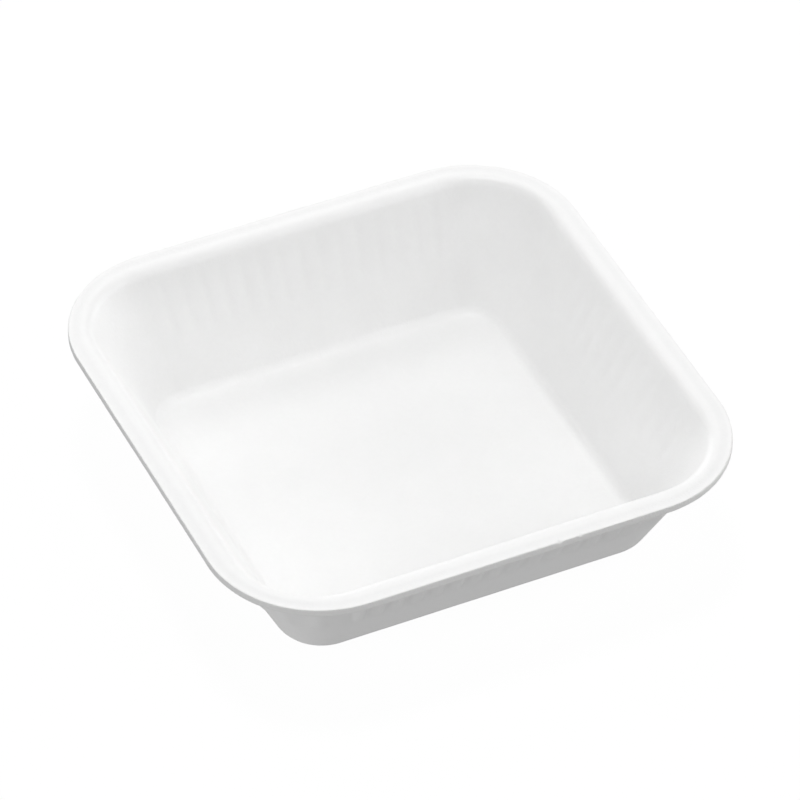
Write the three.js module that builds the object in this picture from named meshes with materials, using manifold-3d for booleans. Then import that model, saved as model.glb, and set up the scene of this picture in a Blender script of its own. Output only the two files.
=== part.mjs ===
// A square deli tray, thermoformed in one piece from a sheet of white polystyrene foam.
// Lengths are in millimetres and +Z is up. The tray stands on Z = 0, with the origin under its middle.
// The flat front edge of the rim, with its two small dents, faces -Y.

import * as THREE from 'three';
import { mergeVertices } from 'three/addons/utils/BufferGeometryUtils.js';
import Module from 'manifold-3d';

const sheetThickness = 1.9;
const trayHeight = 32.5;

// The floor line, where the inner faces of the walls would meet the floor.
const floorWidth = 93.2;
const floorCornerRadius = 9.5;

// The mouth line, where the inner faces of the walls would meet the top of the rim.
const mouthWidth = 122.6;
const mouthCornerRadius = 20;

// The trimmed edge of the rim.
const rimWidth = 135;
const rimCornerRadius = 28.5;

// Bends of the sheet: the inner face at the floor, and the underside at the shoulder.
const floorBendRadius = 3.9;
const shoulderBendRadius = 1.5;

// Upright flutes pushed outwards in the upper part of each wall, with faded ends.
const flutePitch = 5.4;
const fluteDepthOutside = 0.55;
const fluteDepthInside = 0.3;
const fluteFootHeight = 12.5;
const fluteFootFade = 5;
const fluteHeadFade = 3.5;

// Small dents in the upper edge of the front rim, left to right.
const nickHeight = 1;
const nickReach = 1.5;
const nicks = [
  { place: 10.6, length: 1.7 },
  { place: 16.1, length: 1.1 },
];

// Steps of the rounded stretches.
const bendSteps = 3;
const cornerSteps = 9;
const stationsPerFlute = 3;
const nickSides = 10;
const nickRings = 6;

const shoulderTopRadius = shoulderBendRadius + sheetThickness;
const wallRise = trayHeight - sheetThickness;

const floorLine = { half: floorWidth / 2, radius: floorCornerRadius };
const mouthLine = { half: mouthWidth / 2, radius: mouthCornerRadius };
const rimLine = { half: rimWidth / 2, radius: rimCornerRadius };

// Stations go once round the tray, anticlockwise from above. Each faces outwards at an angle.
// The corner centre of a line counts outShare times outwards and sideShare times sideways.
function makeStations() {
  const sideLength = 2 * (mouthLine.half - mouthLine.radius);
  const fluteCount = Math.floor(sideLength / flutePitch);
  const fluteStations = fluteCount * stationsPerFlute;
  const flutedLength = fluteCount * flutePitch;
  const stations = [];
  for (let side = 0; side < 4; side++) {
    const angle = side * Math.PI / 2;
    for (let i = 0; i <= fluteStations; i++) {
      const place = flutedLength * (i / fluteStations - 0.5);
      const phase = 2 * Math.PI * i / stationsPerFlute;
      const crest = (1 - Math.cos(phase)) / 2;
      stations.push({ angle, outShare: 1, sideShare: 2 * place / sideLength, crest });
    }
    for (let i = 0; i <= cornerSteps; i++) {
      const turn = i / cornerSteps * Math.PI / 2;
      const outShare = Math.cos(turn) + Math.sin(turn);
      const sideShare = Math.cos(turn) - Math.sin(turn);
      stations.push({ angle: angle + turn, outShare, sideShare, crest: 0 });
    }
  }
  return stations;
}

// How far out and how far sideways a line of the tray lies at a station.
function lineAt(line, station) {
  const cornerCentre = line.half - line.radius;
  return {
    out: cornerCentre * station.outShare + line.radius,
    side: cornerCentre * station.sideShare,
  };
}

// The sheet's upper face in the upright plane of one station, from the floor to the rim's edge.
// Each point has its slope angle, and a depth share for the flutes.
function upperSection(station) {
  const floor = lineAt(floorLine, station);
  const mouth = lineAt(mouthLine, station);
  const rim = lineAt(rimLine, station);
  const wallRun = mouth.out - floor.out;
  const wallLength = Math.hypot(wallRun, wallRise);
  const wallSlope = Math.atan2(wallRise, wallRun);
  const floorTangent = floorBendRadius * Math.tan(wallSlope / 2);
  const shoulderTangent = shoulderTopRadius * Math.tan(wallSlope / 2);
  const points = [];

  for (let i = 0; i <= bendSteps; i++) {
    const share = i / bendSteps;
    const slope = wallSlope * share;
    points.push({
      out: floor.out - floorTangent + floorBendRadius * Math.sin(slope),
      side: THREE.MathUtils.lerp(floor.side, mouth.side, share * floorTangent / wallLength),
      height: sheetThickness + floorBendRadius * (1 - Math.cos(slope)),
      slope,
      flute: 0,
    });
  }

  const shoulderStart = trayHeight - shoulderTangent * Math.sin(wallSlope);
  const fluteRows = [
    { height: fluteFootHeight, flute: 0 },
    { height: fluteFootHeight + fluteFootFade, flute: 1 },
    { height: shoulderStart - fluteHeadFade, flute: 1 },
  ];
  for (const { height, flute } of fluteRows) {
    const share = (height - sheetThickness) / wallRise;
    points.push({
      out: THREE.MathUtils.lerp(floor.out, mouth.out, share),
      side: THREE.MathUtils.lerp(floor.side, mouth.side, share),
      height,
      slope: wallSlope,
      flute,
    });
  }

  const bendFrom = THREE.MathUtils.lerp(mouth.side, floor.side, shoulderTangent / wallLength);
  const bendTo = THREE.MathUtils.lerp(mouth.side, rim.side, shoulderTangent / (rim.out - mouth.out));
  for (let i = 0; i <= bendSteps; i++) {
    const share = i / bendSteps;
    const slope = wallSlope * (1 - share);
    points.push({
      out: mouth.out + shoulderTangent - shoulderTopRadius * Math.sin(slope),
      side: THREE.MathUtils.lerp(bendFrom, bendTo, share),
      height: trayHeight - shoulderTopRadius * (1 - Math.cos(slope)),
      slope,
      flute: 0,
    });
  }

  points.push({ out: rim.out, side: rim.side, height: trayHeight, slope: 0, flute: 0 });
  return points;
}

// Moves a section point through the sheet, at right angles to it, and places it in space.
function placePoint(station, point, depth) {
  const out = point.out + depth * Math.sin(point.slope);
  const height = point.height - depth * Math.cos(point.slope);
  const x = out * Math.cos(station.angle) - point.side * Math.sin(station.angle);
  const y = out * Math.sin(station.angle) + point.side * Math.cos(station.angle);
  return [x, y, height];
}

// The closed skin of the tray: rows run from the floor over the rim's edge and back underneath.
function makeShellGeometry() {
  const stations = makeStations();
  const upper = [];
  const lower = [];
  for (const station of stations) {
    upperSection(station).forEach((point, row) => {
      const crest = station.crest * point.flute;
      const lowerDepth = sheetThickness + fluteDepthOutside * crest;
      (upper[row] ??= []).push(placePoint(station, point, fluteDepthInside * crest));
      (lower[row] ??= []).push(placePoint(station, point, lowerDepth));
    });
  }
  const rows = [...upper, ...lower.reverse()];
  const count = stations.length;
  const floorMiddle = rows.length * count;
  const baseMiddle = floorMiddle + 1;
  const positions = [...rows.flat(2), 0, 0, sheetThickness, 0, 0, 0];

  const index = [];
  for (let i = 0; i < count; i++) {
    const next = (i + 1) % count;
    index.push(floorMiddle, i, next);
    for (let row = 0; row < rows.length - 1; row++) {
      const here = row * count;
      const beyond = here + count;
      index.push(here + i, beyond + i, beyond + next);
      index.push(here + i, beyond + next, here + next);
    }
    const last = (rows.length - 1) * count;
    index.push(baseMiddle, last + next, last + i);
  }
  const geometry = new THREE.BufferGeometry();
  geometry.setAttribute('position', new THREE.Float32BufferAttribute(positions, 3));
  geometry.setIndex(index);
  return geometry;
}

// A rounded lump that is taken out of the rim's edge to leave a dent.
function makeNickGeometry({ place, length }) {
  const geometry = new THREE.SphereGeometry(1, nickSides, nickRings);
  geometry.scale(length / 2, nickReach, nickHeight);
  geometry.translate(place, -rimWidth / 2, trayHeight);
  return geometry;
}

const wasm = await Module();
wasm.setup();

function toSolid(geometry) {
  const bare = geometry.clone();
  bare.deleteAttribute('normal');
  bare.deleteAttribute('uv');
  const merged = mergeVertices(bare);
  return new wasm.Manifold(new wasm.Mesh({
    numProp: 3,
    vertProperties: new Float32Array(merged.attributes.position.array),
    triVerts: new Uint32Array(merged.index.array),
  }));
}

function toGeometry(solid) {
  const { vertProperties, triVerts } = solid.getMesh();
  const geometry = new THREE.BufferGeometry();
  geometry.setAttribute('position', new THREE.BufferAttribute(vertProperties, 3));
  geometry.setIndex(new THREE.BufferAttribute(triVerts, 1));
  geometry.computeVertexNormals();
  return geometry;
}

function makeTray() {
  let solid = toSolid(makeShellGeometry());
  for (const nick of nicks) {
    solid = solid.subtract(toSolid(makeNickGeometry(nick)));
  }
  const foam = new THREE.MeshStandardMaterial({ color: 0xf6f6f4, roughness: 0.5, metalness: 0 });
  const mesh = new THREE.Mesh(toGeometry(solid), foam);
  mesh.name = 'tray';
  return mesh;
}

const deliTray = new THREE.Group();
deliTray.add(makeTray());

export default deliTray;
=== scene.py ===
"""A white foam deli tray on a pale floor, under soft studio light. Lengths are in metres and +Z is up."""

import math

import bpy
import numpy as np
from mathutils import Matrix, Vector, noise


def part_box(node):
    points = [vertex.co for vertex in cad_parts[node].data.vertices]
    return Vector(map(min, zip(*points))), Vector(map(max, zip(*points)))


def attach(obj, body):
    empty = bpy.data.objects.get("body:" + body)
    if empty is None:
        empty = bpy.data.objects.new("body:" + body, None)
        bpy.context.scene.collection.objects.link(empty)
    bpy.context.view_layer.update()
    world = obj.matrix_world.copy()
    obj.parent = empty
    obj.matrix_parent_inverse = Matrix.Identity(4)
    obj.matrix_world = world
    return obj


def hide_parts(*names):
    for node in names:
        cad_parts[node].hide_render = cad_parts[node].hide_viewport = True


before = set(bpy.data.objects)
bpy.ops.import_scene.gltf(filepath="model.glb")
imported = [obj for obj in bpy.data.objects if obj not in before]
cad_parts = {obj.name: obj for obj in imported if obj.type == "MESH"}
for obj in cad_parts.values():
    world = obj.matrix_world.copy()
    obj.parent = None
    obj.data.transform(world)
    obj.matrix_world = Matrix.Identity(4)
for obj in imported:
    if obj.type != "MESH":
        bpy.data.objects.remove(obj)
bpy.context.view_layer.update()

bl_info = {
    "name": "Foam Deli Tray",
    "version": (1, 0, 0),
    "blender": (4, 5, 0),
    "location": "3D View > Sidebar > Deli Tray",
    "description": "Builds a thermoformed foam tray, its foam finish and a studio for it",
    "category": "Add Mesh",
}

MM = 0.001
TINY = 1e-6
LOW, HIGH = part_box("tray")
RIM_WIDTH = HIGH.x - LOW.x
TRAY_HEIGHT = HIGH.z - LOW.z
OUTLINE_GROUP = "inside_outline"
UNEVENNESS_SEED = 11


def length(name, description, millimetres):
    """A length that a user can change, with its default in millimetres."""
    return bpy.props.FloatProperty(
        name=name, description=description, default=millimetres * MM, precision=5, unit="LENGTH"
    )


def share(name, description, default, top=1.0):
    """A plain number from 0 to top."""
    return bpy.props.FloatProperty(
        name=name, description=description, default=default, min=0.0, max=top, subtype="FACTOR"
    )


def colour(name, description, default):
    """A linear colour without alpha."""
    return bpy.props.FloatVectorProperty(
        name=name, description=description, default=default, min=0.0, max=1.0, size=3, subtype="COLOR"
    )


class TraySizes(bpy.types.PropertyGroup):
    """The shape of the formed sheet."""

    sheet: length("Sheet", "Thickness of the foam sheet", 1.9)
    floor_width: length("Floor width", "Between the inner wall faces at the floor", 93.2)
    floor_corner: length("Floor corner", "Corner radius of the floor line", 9.5)
    mouth_width: length("Mouth width", "Between the inner wall faces at the top of the rim", 122.6)
    mouth_corner: length("Mouth corner", "Corner radius of the mouth line", 20.0)
    rim_corner: length("Rim corner", "Corner radius of the trimmed edge", 28.5)
    floor_bend: length("Floor bend", "Inner radius between floor and wall", 3.4)
    shoulder_bend: length("Shoulder bend", "Underside radius between wall and rim", 1.5)
    edge_round: length("Edge rounding", "How far in the trimmed edge is softened", 0.2)
    edge_drop: length("Edge drop", "How far down the upper corner of the edge is softened", 0.6)
    rim_dip: length("Rim dip", "How far the flat rim dips between its shoulder and its edge", 0.08)
    flute_pitch: length("Flute pitch", "Distance from one flute to the next", 5.4)
    flute_shift: length("Flute shift", "How far the row of flutes lies off the middle of a side", -0.5)
    flute_outside: length("Flute depth outside", "How far a flute stands out of the wall", 1.2)
    flute_inside: length("Flute depth inside", "How deep a flute is inside the tray", 0.16)
    flute_foot: length("Flute foot", "Height of the flutes' lower ends above the table", 13.7)
    flute_taper: length("Flute taper", "Length over which a flute rises to its full depth outside", 4.8)
    flute_head_fade: length("Flute head fade", "Length of the fade under the shoulder", 4.0)
    unevenness: length("Unevenness", "How far the formed sheet strays from true", 0.08)
    edge_crumble: length("Edge crumble", "How ragged the trimmed edge is", 0.08)
    dent_depth: length("Dent depth", "How deep the dents in the front edge are", 0.7)
    dent_reach: length("Dent reach", "How far the dents reach in from the edge", 1.3)


class FoamFinish(bpy.types.PropertyGroup):
    """The look of the foam's skin."""

    skin: colour("Skin", "Colour of the smooth skin", (0.935, 0.935, 0.933))
    # Painted shade: a darker colour for a band across the flat rim, which leaves the shoulder and the
    # trimmed edge lighter beside it, like highlight lines.
    painted_rim_shade: colour("Pressed band", "Colour of the pressed flat rim",(0.905, 0.905, 0.904))
    cut: colour("Cut edge", "Colour of the trimmed edge, where the cells lie open", (0.87, 0.87, 0.865))
    cell: length("Cell size", "Size of a foam cell", 0.5)
    cloud: length("Cloud size", "Size of the cloudy patches in the skin", 9.0)
    mottle: share("Mottle", "Strength of the cloudy patches", 0.012)
    grain: share("Grain", "Depth of the cell pattern in the skin", 0.3)
    roughness: share("Roughness", "Roughness of the skin", 0.4)


class StudioLook(bpy.types.PropertyGroup):
    """The floor and the light."""

    floor_glow: share("Floor glow", "How bright the floor looks by itself", 0.97)
    floor_tint: share("Floor tint", "How much of the light and shadow shows on the floor", 0.035)
    floor_bounce: share("Floor bounce", "How much light the floor throws up at the tray", 0.5)
    contact_shadow: length("Contact shadow", "Width of the darker strip of floor round the base", 5.0)
    overhead: share("Overhead light", "Power of the small softbox above", 5.6, 50.0)
    low_back: share("Low back light", "Power of the low softbox behind", 6.4, 50.0)
    low_right: share("Low right light", "Power of the low softbox on the right", 6.3, 50.0)
    low_left: share("Low left light", "Power of the low softbox on the left", 2.5, 50.0)
    front_right: share("Front right light", "Power of the softbox at the front right", 3.9, 50.0)
    front_left: share("Front left light", "Power of the softbox at the front left", 3.8, 50.0)
    sheen: share("Sheen", "Power of the small softbox that lies in the mirror of the flat foam", 1.3, 50.0)
    bend_sheen: share("Bend sheen", "Power of the small softbox that draws the line on the bend", 0.9, 50.0)


def smoothstep(low, high, value):
    """Rises from 0 at low to 1 at high, level at both ends."""
    t = np.clip((value - low) / (high - low), 0.0, 1.0)
    return t * t * (3.0 - 2.0 * t)


class TrayForm:
    """Works out the points of the sheet's skin, station by station and row by row."""

    # Steps of each stretch of the sheet.
    CORNER_STEPS = 36
    STEPS_PER_FLUTE = 10
    BEND_STEPS = 8
    WALL_STEPS = 28
    FLOOR_STEPS = 8
    RIM_STEPS = 8
    EDGE_STEPS = 4
    DENT_STEPS = 13

    # A flute's half width in pitches, its foot's length in tapers, how much it swells on the taper, and
    # the stretch of the taper where its inside fades.
    FLUTE_HALF_WIDTH = 0.4
    FLUTE_FOOT_LENGTH = 0.6
    FLUTE_SWELL = 0.3
    INSIDE_FADE = (0.2, 0.8)

    # The flutes that go on round each corner, and their share of the full depth.
    CORNER_FLUTES = 3
    CORNER_FLUTE_FROM = math.radians(12.0)
    CORNER_FLUTE_TURN = math.radians(28.0)
    CORNER_FLUTE_DEPTH = 0.45

    # The side that has the dents, and the middle and length of each dent.
    FRONT = 3
    DENTS = ((10.6 * MM, 1.5 * MM), (16.1 * MM, 1.0 * MM))

    def __init__(self, sizes):
        self.s = sizes
        self.floor_line = (sizes.floor_width / 2, sizes.floor_corner)
        self.mouth_line = (sizes.mouth_width / 2, sizes.mouth_corner)
        self.rim_line = (RIM_WIDTH / 2, sizes.rim_corner)
        self.shoulder_top = sizes.shoulder_bend + sizes.sheet
        self.stations = self.make_stations()

    def make_stations(self):
        """Arrays over the stations: facing angle, corner shares out and sideways, and place in a flute."""
        half, corner = self.mouth_line
        side_length = 2 * (half - corner)
        count = math.floor(side_length / self.s.flute_pitch)
        fluted = count * self.s.flute_pitch
        narrowing = (half - corner) / (self.rim_line[0] - self.rim_line[1])
        rows = []
        for side in range(4):
            angle = side * math.pi / 2
            places = np.linspace(-fluted / 2, fluted / 2, count * self.STEPS_PER_FLUTE + 1)
            if side == self.FRONT:
                for middle, size in self.DENTS:
                    dent_place = middle * narrowing - self.s.flute_shift
                    away = np.abs(places - dent_place) > size
                    places = np.append(places[away], dent_place + np.linspace(-size, size, self.DENT_STEPS))
                places = np.sort(places)
            for place in places + self.s.flute_shift:
                in_flute = ((place - self.s.flute_shift + fluted / 2) / self.s.flute_pitch) % 1.0 - 0.5
                rows.append((angle, 1.0, 2 * place / side_length, in_flute))
            for turn in np.linspace(0.0, math.pi / 2, self.CORNER_STEPS + 1):
                place = (turn - self.CORNER_FLUTE_FROM) / self.CORNER_FLUTE_TURN
                in_flute = place - round(place) if place < self.CORNER_FLUTES - 0.5 else 0.5
                cosine, sine = math.cos(turn), math.sin(turn)
                rows.append((angle + turn, cosine + sine, cosine - sine, in_flute))
        return np.array(rows).T

    def line_at(self, line):
        """How far out and how far sideways a line of the tray lies, at every station."""
        half, corner = line
        centre = half - corner
        return centre * self.stations[1] + corner, centre * self.stations[2]

    def flute_at(self, height, head):
        """How far each station stands in a flute, outside and inside, from 0 to 1.

        A flute is a rounded rib with an oval foot. Outside it tapers towards the foot, and is less deep on
        the corners. Inside it fades towards the foot, and the corners are plain.
        """
        s = self.s
        above = height - s.flute_foot
        oval = np.clip(above / (self.FLUTE_FOOT_LENGTH * s.flute_taper), 0.0, 1.0)
        half_width = self.FLUTE_HALF_WIDTH * np.sqrt(oval * (2.0 - oval))
        across = np.minimum(np.abs(self.stations[3]) / np.maximum(half_width, TINY), 1.0)
        rib = (1.0 - across ** 2) ** 2 * (1.0 - smoothstep(head - s.flute_head_fade, head, height))
        taper = np.clip(above / s.flute_taper, 0.0, 1.0)
        swell = 1.0 + self.FLUTE_SWELL - self.FLUTE_SWELL * taper
        on_side = self.stations[1] < 1.0 + TINY
        depth = np.where(on_side, 1.0, self.CORNER_FLUTE_DEPTH)
        return rib * taper * swell * depth, rib * smoothstep(*self.INSIDE_FADE, taper) * on_side

    def upper_rows(self):
        """The upper face, row by row: out, side, height, slope and both flute shares at every station."""
        s = self.s
        floor_out, floor_side = self.line_at(self.floor_line)
        mouth_out, mouth_side = self.line_at(self.mouth_line)
        rim_out, rim_side = self.line_at(self.rim_line)
        rise = TRAY_HEIGHT - s.sheet
        run = mouth_out - floor_out
        wall = np.hypot(run, rise)
        slope = np.arctan2(rise, run)
        floor_tangent = s.floor_bend * np.tan(slope / 2)
        shoulder_tangent = self.shoulder_top * np.tan(slope / 2)
        flat = np.zeros_like(slope)
        rows = []

        inner_out = floor_out - floor_tangent
        for i in range(1, self.FLOOR_STEPS):
            grow = i / self.FLOOR_STEPS
            rows.append((inner_out * grow, floor_side * grow, flat + s.sheet, flat, flat, flat))
        for i in range(self.BEND_STEPS + 1):
            part = i / self.BEND_STEPS
            turn = slope * part
            rows.append((
                inner_out + s.floor_bend * np.sin(turn),
                floor_side + (mouth_side - floor_side) * part * floor_tangent / wall,
                s.sheet + s.floor_bend * (1 - np.cos(turn)),
                turn,
                flat,
                flat,
            ))
        wall_from = floor_tangent / wall
        wall_to = 1 - shoulder_tangent / wall
        head = s.sheet + rise * wall_to
        for i in range(1, self.WALL_STEPS):
            part = wall_from + (wall_to - wall_from) * i / self.WALL_STEPS
            height = s.sheet + rise * part
            side = floor_side + (mouth_side - floor_side) * part
            rows.append((floor_out + run * part, side, height, slope, *self.flute_at(height, head)))
        bend_from = mouth_side + (floor_side - mouth_side) * shoulder_tangent / wall
        bend_to = mouth_side + (rim_side - mouth_side) * shoulder_tangent / (rim_out - mouth_out)
        for i in range(self.BEND_STEPS + 1):
            part = i / self.BEND_STEPS
            turn = slope * (1 - part)
            rows.append((
                mouth_out + shoulder_tangent - self.shoulder_top * np.sin(turn),
                bend_from + (bend_to - bend_from) * part,
                TRAY_HEIGHT - self.shoulder_top * (1 - np.cos(turn)),
                turn,
                flat,
                flat,
            ))
        band_from = mouth_out + shoulder_tangent
        band_to = rim_out - s.edge_round
        for i in range(1, self.RIM_STEPS + 1):
            part = i / self.RIM_STEPS
            dip = s.rim_dip * math.sin(math.pi * part) ** 2
            rows.append((
                band_from + (band_to - band_from) * part,
                bend_to + (rim_side - bend_to) * part,
                flat + TRAY_HEIGHT - dip,
                flat,
                flat,
                flat,
            ))
        return rows

    def edge_rows(self):
        """The trimmed edge, from the top of the rim round to its underside."""
        s = self.s
        rim_out, rim_side = self.line_at(self.rim_line)
        flat = np.zeros_like(rim_out)
        base = TRAY_HEIGHT - s.sheet
        turns = [i / self.EDGE_STEPS * math.pi / 2 for i in range(self.EDGE_STEPS + 1)]
        over = [(1 - math.sin(t), TRAY_HEIGHT - s.edge_drop * (1 - math.cos(t))) for t in turns[1:]]
        under = [(1 - math.cos(t), base + s.edge_round * (1 - math.sin(t))) for t in turns[:-1]]
        return [(rim_out - s.edge_round * a, rim_side, flat + z, flat, flat, flat) for a, z in over + under]

    def place(self, row, depth):
        """Moves a row through the sheet by depth, at right angles to it, and gives its points in space."""
        out, side, height, slope = row[:4]
        angle = self.stations[0]
        out = out + depth * np.sin(slope)
        height = height - depth * np.cos(slope)
        x = out * np.cos(angle) - side * np.sin(angle)
        y = out * np.sin(angle) + side * np.cos(angle)
        return np.stack([x, y, height], 1)

    def skin(self):
        """All rows of points, from the middle of the floor over the edge to the middle of the base."""
        s = self.s
        upper = self.upper_rows()
        inside = [self.place(row, s.flute_inside * row[5]) for row in upper]
        outside = [self.place(row, s.sheet + s.flute_outside * row[4]) for row in upper]
        edge = [self.place(row, 0.0) for row in self.edge_rows()]
        return np.array(inside + edge + outside[::-1])


def dent_edge(points, sizes):
    """Presses the small dents into the upper edge of the front rim."""
    falloff = 1.5
    steepest = 0.4
    x, y, z = points.T
    inward = np.clip((y + RIM_WIDTH / 2) / sizes.dent_reach, 0.0, 1.0)
    upper = np.clip((z - TRAY_HEIGHT) / sizes.sheet + 1.0, 0.0, 1.0)
    for middle, size in TrayForm.DENTS:
        across = (x - middle) / (size / 2)
        bowl = np.exp(-across ** 2) * (1 - inward) ** falloff
        z -= min(sizes.dent_depth, size * steepest) * bowl * upper
    return np.stack([x, y, z], 1)


def roughen(points, sizes):
    """Lets the sheet stray a little from true, as formed foam does, and stays inside the tray's box."""
    broad = 28.0
    fine = 110.0
    fine_share = 0.3
    fine_offset = Vector((7, 3, 5))
    crumbs = 900.0
    rim_from = TRAY_HEIGHT - 1.2 * sizes.sheet
    half = RIM_WIDTH / 2 - sizes.rim_corner
    noise.seed_set(UNEVENNESS_SEED)
    moved = []
    for point in points:
        p = Vector(point)
        move = noise.noise_vector(p * broad) + fine_share * noise.noise_vector(p * fine + fine_offset)
        p_new = p + move * sizes.unevenness
        if p.z > rim_from:
            reach = Vector((max(abs(p.x) - half, 0.0), max(abs(p.y) - half, 0.0))).length
            if reach > sizes.rim_corner - 2 * sizes.edge_round:
                p_new *= 1 - abs(noise.noise(p * crumbs)) * sizes.edge_crumble / (RIM_WIDTH / 2)
        moved.append(p_new)
    return np.clip(np.array(moved), np.array(LOW), np.array(HIGH))


class TRAY_OT_shell(bpy.types.Operator):
    """Builds the formed foam sheet with its flutes, shoulder and trimmed rim"""

    bl_idname = "tray.shell"
    bl_label = "Build Tray"

    def execute(self, context):
        sizes = context.scene.tray_sizes
        rows = TrayForm(sizes).skin()
        row_count, count, _ = rows.shape
        points = np.vstack([rows.reshape(-1, 3), [[0, 0, sizes.sheet], [0, 0, 0]]])
        points = roughen(dent_edge(points, sizes), sizes)
        floor_middle = row_count * count
        base_middle = floor_middle + 1
        ring = np.arange(count)
        after = (ring + 1) % count
        faces = []
        for row in range(row_count - 1):
            here, beyond = row * count, (row + 1) * count
            faces += np.stack([here + ring, beyond + ring, beyond + after, here + after], 1).tolist()
        last = (row_count - 1) * count
        faces += [(floor_middle, int(i), int(j)) for i, j in zip(ring, after)]
        faces += [(base_middle, int(last + j), int(last + i)) for i, j in zip(ring, after)]
        mesh = bpy.data.meshes.new("foam_tray")
        mesh.from_pydata(points.tolist(), [], faces)
        mesh.update()
        mesh.polygons.foreach_set("use_smooth", [True] * len(mesh.polygons))
        tray = bpy.data.objects.new("foam_tray", mesh)
        context.scene.collection.objects.link(tray)
        mesh.materials.append(foam_material(context.scene.tray_finish, sizes))
        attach(tray, "root")
        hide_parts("tray")
        return {"FINISHED"}


class Nodes:
    """Short ways to add shader nodes to a tree and to join them."""

    def __init__(self, tree):
        self.tree = tree

    def add(self, kind, inputs=None, **settings):
        """Adds a node, sets its properties, and sets or links its inputs."""
        node = self.tree.nodes.new(kind)
        for name, value in settings.items():
            setattr(node, name, value)
        for key, value in (inputs or {}).items():
            if isinstance(value, bpy.types.NodeSocket):
                self.tree.links.new(value, node.inputs[key])
            else:
                node.inputs[key].default_value = value
        return node

    def math(self, operation, *values):
        """A scalar sum."""
        return self.add("ShaderNodeMath", dict(enumerate(values)), operation=operation).outputs[0]

    def vector(self, operation, *values):
        """A vector sum."""
        return self.add("ShaderNodeVectorMath", dict(enumerate(values)), operation=operation)

    def mix(self, factor, first, second):
        """A blend of two colours."""
        node = self.add("ShaderNodeMix", data_type="RGBA")
        for socket, value in zip((node.inputs[0], node.inputs[6], node.inputs[7]), (factor, first, second)):
            if isinstance(value, bpy.types.NodeSocket):
                self.tree.links.new(value, socket)
            else:
                socket.default_value = value
        return node.outputs[2]

    def remap(self, value, low, high, to_low=0.0, to_high=1.0, smooth=True):
        """Maps a range of values to another."""
        ends = {"Value": value, "From Min": low, "From Max": high, "To Min": to_low, "To Max": to_high}
        kind = "SMOOTHSTEP" if smooth else "LINEAR"
        return self.add("ShaderNodeMapRange", ends, interpolation_type=kind).outputs["Result"]


def outline_group():
    """A node group: how far a point lies inside the outline of a square with round corners."""
    tree = bpy.data.node_groups.new(OUTLINE_GROUP, "ShaderNodeTree")
    tree.interface.new_socket("Position", in_out="INPUT", socket_type="NodeSocketVector")
    tree.interface.new_socket("Width", in_out="INPUT", socket_type="NodeSocketFloat")
    tree.interface.new_socket("Corner", in_out="INPUT", socket_type="NodeSocketFloat")
    tree.interface.new_socket("Distance", in_out="OUTPUT", socket_type="NodeSocketFloat")
    n = Nodes(tree)
    given = n.add("NodeGroupInput").outputs
    centre = n.math("SUBTRACT", n.math("MULTIPLY", given["Width"], 0.5), given["Corner"])
    centres = n.add("ShaderNodeCombineXYZ", {0: centre, 1: centre}).outputs[0]
    flat = n.vector("MULTIPLY", given["Position"], (1.0, 1.0, 0.0)).outputs[0]
    beyond = n.vector("SUBTRACT", n.vector("ABSOLUTE", flat).outputs[0], centres).outputs[0]
    reach = n.vector("LENGTH", n.vector("MAXIMUM", beyond, (0.0, 0.0, 0.0)).outputs[0]).outputs["Value"]
    n.add("NodeGroupOutput", {"Distance": n.math("SUBTRACT", given["Corner"], reach)})
    return tree


def inside_distance(n, position, width, corner):
    """Places the outline group in a material, with the material's own width and corner."""
    group = bpy.data.node_groups.get(OUTLINE_GROUP) or outline_group()
    inputs = {"Position": position, "Width": width, "Corner": corner}
    return n.add("ShaderNodeGroup", inputs, node_tree=group).outputs["Distance"]


# How far in from the trimmed edge the cut look ends, and the band of painted shade on the flat rim starts
# and ends.
CUT_FADE = (0.15 * MM, 0.4 * MM)
BAND_FADE_IN = (0.5 * MM, 1.6 * MM)
BAND_FADE_OUT = (2.2 * MM, 3.7 * MM)

# The part of a noise's range that is used, and what it does to the colour and the roughness.
NOISE_SPAN = (0.3, 0.7)
BLOTCH_LIGHTER = 0.4
FLECK_DARKER = 0.5
FLECK_LIGHTER = 0.3
SMOOTHER = 0.04
ROUGHER = 0.06

# How much rougher the cut edge is, and the shares and depth of the relief.
CUT_ROUGHER = 0.4
CUT_RELIEF = 2.0
CELL_RELIEF = 0.6
SPECK_RELIEF = 0.8
RELIEF_DEPTH = 0.15 * MM


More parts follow.
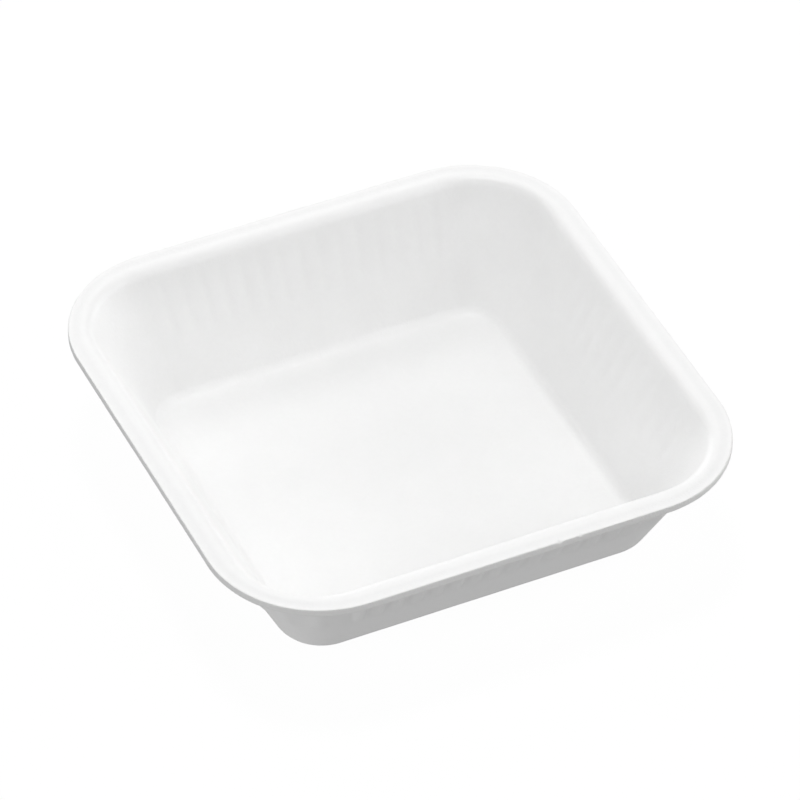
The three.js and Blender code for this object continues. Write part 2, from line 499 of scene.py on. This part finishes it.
def foam_material(finish, sizes):
    """White polystyrene foam: a satin skin over fine cells, painted shade in a band across the flat rim,
    and a rougher cut edge.
    """
    material = bpy.data.materials.new("white_foam")
    material.use_nodes = True
    shader = material.node_tree.nodes["Principled BSDF"]
    n = Nodes(material.node_tree)
    position = n.add("ShaderNodeTexCoord").outputs["Object"]
    inside = inside_distance(n, position, RIM_WIDTH, sizes.rim_corner)
    height = n.add("ShaderNodeSeparateXYZ", {0: position}).outputs["Z"]

    cells = n.add("ShaderNodeTexVoronoi", {"Vector": position, "Scale": 1 / finish.cell, "Randomness": 0.9},
                  feature="F1").outputs["Distance"]
    clouds = n.add("ShaderNodeTexNoise", {"Vector": position, "Scale": 1 / finish.cloud, "Detail": 5.0,
                                          "Roughness": 0.62}).outputs["Fac"]
    specks = n.add("ShaderNodeTexNoise", {"Vector": position, "Scale": 0.5 / finish.cell, "Detail": 2.0,
                                          "Roughness": 0.5}).outputs["Fac"]

    on_rim = n.remap(height, TRAY_HEIGHT - 1.5 * sizes.sheet, TRAY_HEIGHT - sizes.sheet)
    outer = n.remap(inside, *BAND_FADE_IN)
    inner = n.remap(inside, *BAND_FADE_OUT, 1.0, 0.0)
    # The band of painted shade across the flat rim, between the trimmed edge and the shoulder.
    band = n.math("MULTIPLY", n.math("MULTIPLY", outer, inner), on_rim)
    cut = n.math("MULTIPLY", n.remap(inside, *CUT_FADE, 1.0, 0.0), on_rim)

    tone = n.mix(band, (*finish.skin, 1.0), (*finish.painted_rim_shade, 1.0))
    tone = n.mix(cut, tone, (*finish.cut, 1.0))
    darker, lighter = 1.0 - finish.mottle, 1.0 + finish.mottle * BLOTCH_LIGHTER
    blotch = n.remap(clouds, *NOISE_SPAN, darker, lighter, smooth=False)
    darker, lighter = 1.0 - finish.mottle * FLECK_DARKER, 1.0 + finish.mottle * FLECK_LIGHTER
    fleck = n.remap(specks, *NOISE_SPAN, darker, lighter, smooth=False)
    shade = n.math("MULTIPLY", blotch, fleck)
    shades = n.add("ShaderNodeCombineXYZ", {0: shade, 1: shade, 2: shade}).outputs[0]
    shaded = n.vector("MULTIPLY", tone, shades).outputs[0]
    material.node_tree.links.new(shaded, shader.inputs["Base Color"])

    smoothest, roughest = finish.roughness - SMOOTHER, finish.roughness + ROUGHER
    rough = n.remap(clouds, *NOISE_SPAN, smoothest, roughest, smooth=False)
    rough = n.math("ADD", rough, n.math("MULTIPLY", cut, CUT_ROUGHER))
    material.node_tree.links.new(rough, shader.inputs["Roughness"])

    relief = n.math("ADD", n.math("MULTIPLY", cells, CELL_RELIEF), n.math("MULTIPLY", specks, SPECK_RELIEF))
    relief = n.math("MULTIPLY", relief, n.math("ADD", 1.0, n.math("MULTIPLY", cut, CUT_RELIEF)))
    bump = n.add("ShaderNodeBump", {"Height": relief, "Strength": finish.grain, "Distance": RELIEF_DEPTH})
    material.node_tree.links.new(bump.outputs["Normal"], shader.inputs["Normal"])
    return material


# Each softbox: its name, its azimuth and elevation in degrees, and its width in metres. Azimuth 0 is +X.
SOFTBOXES = (
    ("overhead", 90.0, 80.0, 0.3),
    ("low_back", 90.0, 12.0, 0.8),
    ("low_right", 0.0, 12.0, 0.8),
    ("low_left", 180.0, 12.0, 0.8),
    ("front_right", 315.0, 38.0, 0.8),
    ("front_left", 225.0, 38.0, 0.8),
    ("sheen", 64.0, 42.0, 0.4),
    ("bend_sheen", 88.0, 48.0, 0.3),
)
SOFTBOX_DISTANCE = 1.2

# The floor's half width in rim widths, and the share of its light that is left right beside the base.
FLOOR_REACH = 30
LIGHT_AT_BASE = 0.2

# The camera's view: angles in degrees, lengths in hundredths of the rim's width, and a focal length in
# pixels of the picture.
VIEW_AZIMUTH = -25.87
VIEW_ELEVATION = 42.46
VIEW_ROLL = 0.95
VIEW_DISTANCE = 1138.14
VIEW_RIGHT = 0.52
VIEW_UP = 5.16
VIEW_HEIGHT = 12
FOCAL_LENGTH = 6308.2
PICTURE_WIDTH = 800


class TRAY_OT_studio(bpy.types.Operator):
    """Lays the pale floor, sets the soft light and places the camera"""

    bl_idname = "tray.studio"
    bl_label = "Build Studio"

    def execute(self, context):
        look = context.scene.tray_studio
        make_floor(context, look)
        make_room(context)
        for name, azimuth, elevation, width in SOFTBOXES:
            make_softbox(context, f"{name}_softbox", azimuth, elevation, width, getattr(look, name))
        make_camera(context)
        context.scene.view_settings.view_transform = "Standard"
        return {"FINISHED"}


def make_floor(context, look):
    """A wide pale floor, nearly white to the camera, that lights the tray from below."""
    size = FLOOR_REACH * RIM_WIDTH
    mesh = bpy.data.meshes.new("pale_floor")
    corners = [(-size, -size, 0), (size, -size, 0), (size, size, 0), (-size, size, 0)]
    mesh.from_pydata(corners, [], [(0, 1, 2, 3)])
    floor = bpy.data.objects.new("pale_floor", mesh)
    context.scene.collection.objects.link(floor)
    material = bpy.data.materials.new("pale_floor")
    material.use_nodes = True
    tree = material.node_tree
    tree.nodes.remove(tree.nodes["Principled BSDF"])
    n = Nodes(tree)
    position = n.add("ShaderNodeTexCoord").outputs["Object"]
    sizes = context.scene.tray_sizes
    base_width = sizes.floor_width - sizes.floor_bend
    inside = inside_distance(n, position, base_width, sizes.floor_corner)
    at_base = look.floor_bounce * LIGHT_AT_BASE
    open_light = n.remap(inside, -look.contact_shadow, 0.0, look.floor_bounce, at_base)
    bounce = n.add("ShaderNodeEmission", {"Color": open_light}).outputs[0]
    tint = n.add("ShaderNodeBsdfDiffuse", {"Color": (look.floor_tint,) * 3 + (1.0,)}).outputs[0]
    glow = n.add("ShaderNodeEmission", {"Strength": look.floor_glow}).outputs[0]
    seen = n.add("ShaderNodeAddShader", {0: tint, 1: glow}).outputs[0]
    to_camera = n.add("ShaderNodeLightPath").outputs["Is Camera Ray"]
    surface = n.add("ShaderNodeMixShader", {0: to_camera, 1: bounce, 2: seen}).outputs[0]
    tree.links.new(surface, tree.nodes["Material Output"].inputs["Surface"])
    mesh.materials.append(material)


def make_room(context):
    """A room that looks white where the camera sees past the floor, and gives no light of its own."""
    world = bpy.data.worlds.new("pale_room")
    world.use_nodes = True
    context.scene.world = world
    to_camera = Nodes(world.node_tree).add("ShaderNodeLightPath").outputs["Is Camera Ray"]
    background = world.node_tree.nodes["Background"]
    background.inputs["Color"].default_value = (1.0, 1.0, 1.0, 1.0)
    world.node_tree.links.new(to_camera, background.inputs["Strength"])


def make_softbox(context, name, azimuth, elevation, width, power):
    """A round soft light that faces the tray; azimuth 0 is +X and 90 is +Y."""
    turn, lift = math.radians(azimuth), math.radians(elevation)
    way = Vector((math.cos(turn) * math.cos(lift), math.sin(turn) * math.cos(lift), math.sin(lift)))
    light = bpy.data.lights.new(name, "AREA")
    light.shape = "DISK"
    light.size = width
    light.energy = power
    lamp = bpy.data.objects.new(name, light)
    context.scene.collection.objects.link(lamp)
    lamp.location = way * SOFTBOX_DISTANCE
    lamp.rotation_euler = way.to_track_quat("Z", "Y").to_euler()
    lamp.visible_camera = False


def make_camera(context):
    """The photograph's view: a long lens from the front left, high above the rim."""
    azimuth = math.radians(VIEW_AZIMUTH)
    elevation = math.radians(VIEW_ELEVATION)
    roll = math.radians(VIEW_ROLL)
    unit = RIM_WIDTH / 100
    back = Vector((
        math.sin(azimuth) * math.cos(elevation),
        -math.cos(azimuth) * math.cos(elevation),
        math.sin(elevation),
    ))
    right = Vector((math.cos(azimuth), math.sin(azimuth), 0))
    up = back.cross(right)
    target = (right * VIEW_RIGHT + up * VIEW_UP + Vector((0, 0, VIEW_HEIGHT))) * unit
    side = right * math.cos(roll) + up * math.sin(roll)
    top = up * math.cos(roll) - right * math.sin(roll)
    camera = bpy.data.objects.new("camera", bpy.data.cameras.new("camera"))
    context.scene.collection.objects.link(camera)
    camera.data.lens = FOCAL_LENGTH / PICTURE_WIDTH * camera.data.sensor_width
    turn = Matrix((side, top, back)).transposed().to_4x4()
    camera.matrix_world = Matrix.Translation(target + back * VIEW_DISTANCE * unit) @ turn
    camera.data.clip_start = 0.1
    camera.data.clip_end = 20.0
    context.scene.camera = camera


class TRAY_PT_sidebar(bpy.types.Panel):
    """Lists the tray's steps and sizes"""

    bl_idname = "TRAY_PT_sidebar"
    bl_label = "Deli Tray"
    bl_space_type = "VIEW_3D"
    bl_region_type = "UI"
    bl_category = "Deli Tray"

    def draw(self, context):
        for operator in (TRAY_OT_shell, TRAY_OT_studio):
            self.layout.operator(operator.bl_idname)
        for group in SETTINGS:
            settings = getattr(context.scene, group)
            box = self.layout.box()
            for name in settings.bl_rna.properties.keys():
                if name not in {"rna_type", "name"}:
                    box.prop(settings, name)


CLASSES = (TraySizes, FoamFinish, StudioLook, TRAY_OT_shell, TRAY_OT_studio, TRAY_PT_sidebar)
SETTINGS = {"tray_sizes": TraySizes, "tray_finish": FoamFinish, "tray_studio": StudioLook}


def register():
    for cls in CLASSES:
        bpy.utils.register_class(cls)
    for name, group in SETTINGS.items():
        setattr(bpy.types.Scene, name, bpy.props.PointerProperty(type=group))


def unregister():
    for name in SETTINGS:
        delattr(bpy.types.Scene, name)
    for cls in reversed(CLASSES):
        bpy.utils.unregister_class(cls)


def main():
    register()
    bpy.ops.tray.shell()
    bpy.ops.tray.studio()
    bpy.context.view_layer.update()


if __name__ == "__main__":
    main()
